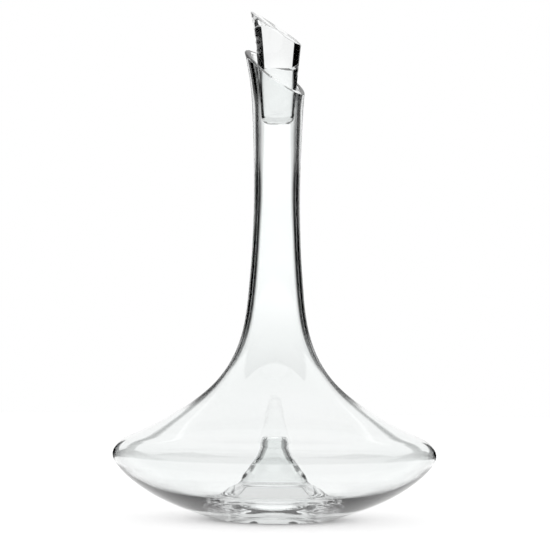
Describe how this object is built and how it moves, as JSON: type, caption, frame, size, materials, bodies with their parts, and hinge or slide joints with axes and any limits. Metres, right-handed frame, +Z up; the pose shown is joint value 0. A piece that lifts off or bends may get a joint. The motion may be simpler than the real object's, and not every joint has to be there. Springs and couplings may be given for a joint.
{
  "type": "wine decanter",
  "caption": "Glass wine decanter with a wide low bowl, tall flared neck cut on a slant, a pushed-up base and a loose solid glass stopper.",
  "frame": {"origin": "centre of the foot's resting plane, on the vessel's axis", "axes": "+Z up the neck, +X towards the low pouring side of the slanted mouth, +Y to the left of that"},
  "size_m": [0.215, 0.215, 0.3373],
  "materials": {
    "vessel_glass": "clear polished",
    "stopper_glass": "clear polished"
  },
  "bodies": {
    "vessel": {"decanter_vessel": "vessel_glass"},
    "stopper": {"stopper": "stopper_glass"}
  },
  "joints": [
    {"name": "stopper_lift", "type": "slide", "parent": "vessel", "child": "stopper", "axis": [0, 0, 1], "range_m": [0, 0.08]}
  ]
}
